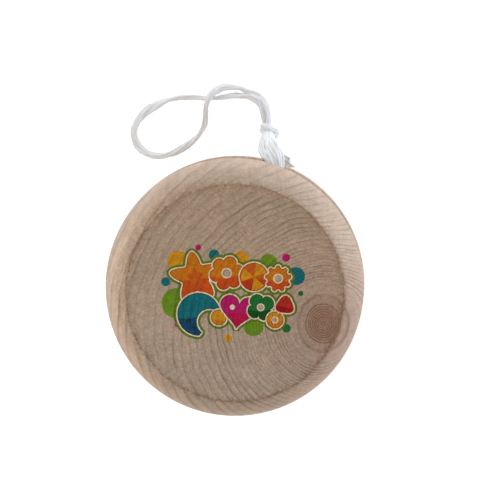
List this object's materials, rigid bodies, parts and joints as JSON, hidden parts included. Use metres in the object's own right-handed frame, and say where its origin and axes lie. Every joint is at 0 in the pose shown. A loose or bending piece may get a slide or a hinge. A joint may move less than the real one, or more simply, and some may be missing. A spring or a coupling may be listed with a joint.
{
  "type": "wooden yo-yo",
  "caption": "Turned wooden yo-yo: rounded halves on a glued dowel axle, with a white cotton string wound in the gap that ends in a tied finger loop.",
  "frame": {"origin": "centre of the back half's flat outer face, on the surface the yo-yo lies on", "axes": "+Z along the axle, out of the front face; +Y towards the side where the string leaves the gap; +X to the right of +Y seen from the front"},
  "size_m": [0.05, 0.0635, 0.03],
  "materials": {
    "turned_wood": "unvarnished, finely sanded end grain with a coloured print on the front face",
    "dowel_wood": "plain dowel",
    "white_string": "soft, loosely twisted"
  },
  "bodies": {
    "yoyo": {"front_half": "turned_wood", "back_half": "turned_wood", "axle": "dowel_wood"},
    "string": {"axle_loop": "white_string", "string_winding": "white_string", "string_lead": "white_string", "finger_knot": "white_string", "loop_neck": "white_string", "finger_loop": "white_string", "string_tail": "white_string"}
  },
  "joints": [
    {"name": "string_spin", "type": "hinge", "parent": "yoyo", "child": "string", "pos_m": [0, 0, 0.015], "axis": [0, 0, 1], "continuous": true}
  ]
}
